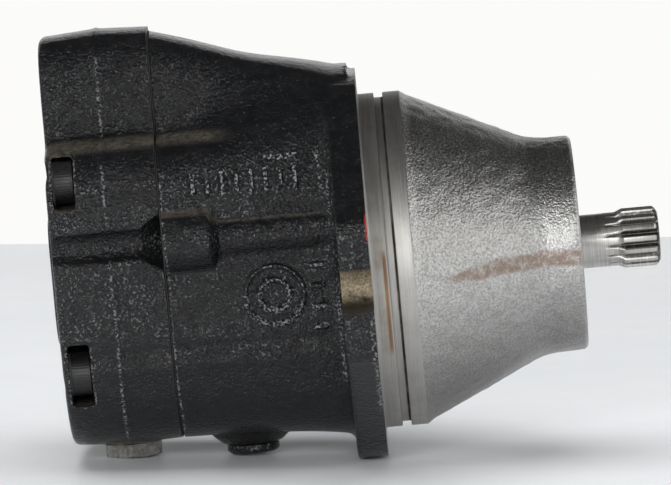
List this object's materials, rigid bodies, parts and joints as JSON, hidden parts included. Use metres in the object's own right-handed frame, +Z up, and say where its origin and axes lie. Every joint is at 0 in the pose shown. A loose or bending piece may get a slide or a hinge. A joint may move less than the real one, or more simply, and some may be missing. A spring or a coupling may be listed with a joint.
{
  "type": "hydraulic motor",
  "caption": "Plug-in axial-piston hydraulic motor: a tapered nose and pilot ahead of a slotted flange, splined shaft, cast body with a servo lobe, tilting swashplate inside.",
  "frame": {"origin": "centre of the output shaft's end face", "axes": "+X along the output shaft, away from the motor; +Z up, towards the servo lobe; the side gallery boss is on -Y"},
  "size_m": [0.2517, 0.22, 0.1872],
  "materials": {
    "black_paint": "gloss black paint over rough cast iron",
    "bare_iron": "bare sand-cast grey iron, machined on the pilot",
    "cast_iron": "machined",
    "machined_steel": "turned and hobbed",
    "hardened_steel": "ground",
    "bearing_steel": "polished bearing steel",
    "bronze": "machined bearing bronze",
    "spring_steel": "oil-tempered",
    "rubber": "moulded",
    "gasket": "coated fibre",
    "oxide_steel": "black oxide"
  },
  "bodies": {
    "case": {"housing": "black_paint", "end_cap": "black_paint", "end_cap_gasket": "gasket", "cap_screw_1": "oxide_steel", "cap_screw_2": "oxide_steel", "cap_screw_3": "oxide_steel", "cap_screw_4": "oxide_steel", "lobe_screw_1": "oxide_steel", "lobe_screw_2": "oxide_steel", "hex_plug": "machined_steel", "hex_plug_seal": "bronze", "drain_plug": "black_paint", "drain_plug_seal": "rubber", "servo_plug": "oxide_steel", "servo_plug_seal": "rubber", "shaft_seal": "rubber", "seal_retaining_ring": "spring_steel", "front_bearing_cup": "bearing_steel", "rear_bearing_shell": "bearing_steel", "valve_plate": "bronze", "valve_plate_dowel": "hardened_steel", "cradle_shell_left": "bronze", "cradle_shell_right": "bronze", "return_spring": "spring_steel"},
    "rotor": {"output_shaft": "machined_steel", "front_bearing_cone": "bearing_steel", "cylinder_block": "cast_iron", "ball_guide": "hardened_steel", "block_spring": "spring_steel", "spring_seat": "hardened_steel"},
    "front_rollers": {"front_bearing_rollers": "bearing_steel"},
    "rear_needles": {"rear_bearing_needles": "bearing_steel"},
    "swashplate": {"swashplate": "hardened_steel"},
    "retainer": {"retainer_plate": "hardened_steel"},
    "servo": {"servo_piston": "hardened_steel"},
    "plunger": {"return_plunger": "hardened_steel"},
    "slipper_1": {"slipper_1": "bronze"},
    "piston_1": {"piston_1": "hardened_steel"},
    "slipper_2": {"slipper_2": "bronze"},
    "piston_2": {"piston_2": "hardened_steel"},
    "slipper_3": {"slipper_3": "bronze"},
    "piston_3": {"piston_3": "hardened_steel"},
    "slipper_4": {"slipper_4": "bronze"},
    "piston_4": {"piston_4": "hardened_steel"},
    "slipper_5": {"slipper_5": "bronze"},
    "piston_5": {"piston_5": "hardened_steel"},
    "slipper_6": {"slipper_6": "bronze"},
    "piston_6": {"piston_6": "hardened_steel"},
    "slipper_7": {"slipper_7": "bronze"},
    "piston_7": {"piston_7": "hardened_steel"},
    "slipper_8": {"slipper_8": "bronze"},
    "piston_8": {"piston_8": "hardened_steel"},
    "slipper_9": {"slipper_9": "bronze"},
    "piston_9": {"piston_9": "hardened_steel"}
  },
  "joints": [
    {"name": "shaft_spin", "type": "hinge", "parent": "case", "child": "rotor", "pos_m": [-0.06, 0, 0], "axis": [1, 0, 0], "continuous": true},
    {"name": "front_rollers_spin", "type": "hinge", "parent": "case", "child": "front_rollers", "pos_m": [-0.0585, 0, 0], "axis": [1, 0, 0], "continuous": true},
    {"name": "rear_needles_spin", "type": "hinge", "parent": "case", "child": "rear_needles", "pos_m": [-0.2165, 0, 0], "axis": [1, 0, 0], "continuous": true},
    {"name": "swash_tilt", "type": "hinge", "parent": "case", "child": "swashplate", "pos_m": [-0.118, 0, 0], "axis": [0, 1, 0], "range_deg": [0, 15], "stiffness_Nm_per_rad": 20, "springref_deg": -28.65, "deforming": ["return_spring"]},
    {"name": "retainer_spin", "type": "hinge", "parent": "swashplate", "child": "retainer", "pos_m": [-0.118, 0, 0], "axis": [1, 0, 0], "continuous": true},
    {"name": "slipper_1_turn", "type": "hinge", "parent": "retainer", "child": "slipper_1", "pos_m": [-0.118, 0, 0.029], "axis": [1, 0, 0], "continuous": true},
    {"name": "slipper_2_turn", "type": "hinge", "parent": "retainer", "child": "slipper_2", "pos_m": [-0.118, -0.01864, 0.02221], "axis": [1, 0, 0], "continuous": true},
    {"name": "slipper_3_turn", "type": "hinge", "parent": "retainer", "child": "slipper_3", "pos_m": [-0.118, -0.02856, 0.00504], "axis": [1, 0, 0], "continuous": true},
    {"name": "slipper_4_turn", "type": "hinge", "parent": "retainer", "child": "slipper_4", "pos_m": [-0.118, -0.02511, -0.0145], "axis": [1, 0, 0], "continuous": true},
    {"name": "slipper_5_turn", "type": "hinge", "parent": "retainer", "child": "slipper_5", "pos_m": [-0.118, -0.00992, -0.02725], "axis": [1, 0, 0], "continuous": true},
    {"name": "slipper_6_turn", "type": "hinge", "parent": "retainer", "child": "slipper_6", "pos_m": [-0.118, 0.00992, -0.02725], "axis": [1, 0, 0], "continuous": true},
    {"name": "slipper_7_turn", "type": "hinge", "parent": "retainer", "child": "slipper_7", "pos_m": [-0.118, 0.02511, -0.0145], "axis": [1, 0, 0], "continuous": true},
    {"name": "slipper_8_turn", "type": "hinge", "parent": "retainer", "child": "slipper_8", "pos_m": [-0.118, 0.02856, 0.00504], "axis": [1, 0, 0], "continuous": true},
    {"name": "slipper_9_turn", "type": "hinge", "parent": "retainer", "child": "slipper_9", "pos_m": [-0.118, 0.01864, 0.02221], "axis": [1, 0, 0], "continuous": true},
    {"name": "piston_1_ball", "type": "hinge", "parent": "slipper_1", "child": "piston_1", "pos_m": [-0.118, 0, 0.029], "axis": [0, 1, 0], "range_deg": [-15.1, 0]},
    {"name": "piston_2_ball", "type": "hinge", "parent": "slipper_2", "child": "piston_2", "pos_m": [-0.118, -0.01864, 0.02221], "axis": [0, 1, 0], "range_deg": [-15.1, 0]},
    {"name": "piston_3_ball", "type": "hinge", "parent": "slipper_3", "child": "piston_3", "pos_m": [-0.118, -0.02856, 0.00504], "axis": [0, 1, 0], "range_deg": [-15.1, 0]},
    {"name": "piston_4_ball", "type": "hinge", "parent": "slipper_4", "child": "piston_4", "pos_m": [-0.118, -0.02511, -0.0145], "axis": [0, 1, 0], "range_deg": [-15.1, 0]},
    {"name": "piston_5_ball", "type": "hinge", "parent": "slipper_5", "child": "piston_5", "pos_m": [-0.118, -0.00992, -0.02725], "axis": [0, 1, 0], "range_deg": [-15.1, 0]},
    {"name": "piston_6_ball", "type": "hinge", "parent": "slipper_6", "child": "piston_6", "pos_m": [-0.118, 0.00992, -0.02725], "axis": [0, 1, 0], "range_deg": [-15.1, 0]},
    {"name": "piston_7_ball", "type": "hinge", "parent": "slipper_7", "child": "piston_7", "pos_m": [-0.118, 0.02511, -0.0145], "axis": [0, 1, 0], "range_deg": [-15.1, 0]},
    {"name": "piston_8_ball", "type": "hinge", "parent": "slipper_8", "child": "piston_8", "pos_m": [-0.118, 0.02856, 0.00504], "axis": [0, 1, 0], "range_deg": [-15.1, 0]},
    {"name": "piston_9_ball", "type": "hinge", "parent": "slipper_9", "child": "piston_9", "pos_m": [-0.118, 0.01864, 0.02221], "axis": [0, 1, 0], "range_deg": [-15.1, 0]},
    {"name": "servo_stroke", "type": "slide", "parent": "case", "child": "servo", "axis": [0.9563, 0, -0.2924], "range_m": [0, 0.0131]},
    {"name": "plunger_stroke", "type": "slide", "parent": "case", "child": "plunger", "axis": [-1, 0, 0], "range_m": [0, 0.0135]}
  ],
  "couplings": [
    {"joint": "front_rollers_spin", "follows": "shaft_spin", "ratio": 0.4225},
    {"joint": "rear_needles_spin", "follows": "shaft_spin", "ratio": 0.42},
    {"joint": "retainer_spin", "follows": "shaft_spin", "ratio": 1},
    {"joint": "slipper_1_turn", "follows": "shaft_spin", "ratio": -1},
    {"joint": "slipper_2_turn", "follows": "shaft_spin", "ratio": -1},
    {"joint": "slipper_3_turn", "follows": "shaft_spin", "ratio": -1},
    {"joint": "slipper_4_turn", "follows": "shaft_spin", "ratio": -1},
    {"joint": "slipper_5_turn", "follows": "shaft_spin", "ratio": -1},
    {"joint": "slipper_6_turn", "follows": "shaft_spin", "ratio": -1},
    {"joint": "slipper_7_turn", "follows": "shaft_spin", "ratio": -1},
    {"joint": "slipper_8_turn", "follows": "shaft_spin", "ratio": -1},
    {"joint": "slipper_9_turn", "follows": "shaft_spin", "ratio": -1},
    {"joint": "piston_1_ball", "follows": "swash_tilt", "ratio": -1},
    {"joint": "piston_2_ball", "follows": "swash_tilt", "ratio": -1},
    {"joint": "piston_3_ball", "follows": "swash_tilt", "ratio": -1},
    {"joint": "piston_4_ball", "follows": "swash_tilt", "ratio": -1},
    {"joint": "piston_5_ball", "follows": "swash_tilt", "ratio": -1},
    {"joint": "piston_6_ball", "follows": "swash_tilt", "ratio": -1},
    {"joint": "piston_7_ball", "follows": "swash_tilt", "ratio": -1},
    {"joint": "piston_8_ball", "follows": "swash_tilt", "ratio": -1},
    {"joint": "piston_9_ball", "follows": "swash_tilt", "ratio": -1},
    {"joint": "servo_stroke", "follows": "swash_tilt", "m_per_rad": 0.04946},
    {"joint": "plunger_stroke", "follows": "swash_tilt", "m_per_rad": 0.05117}
  ]
}
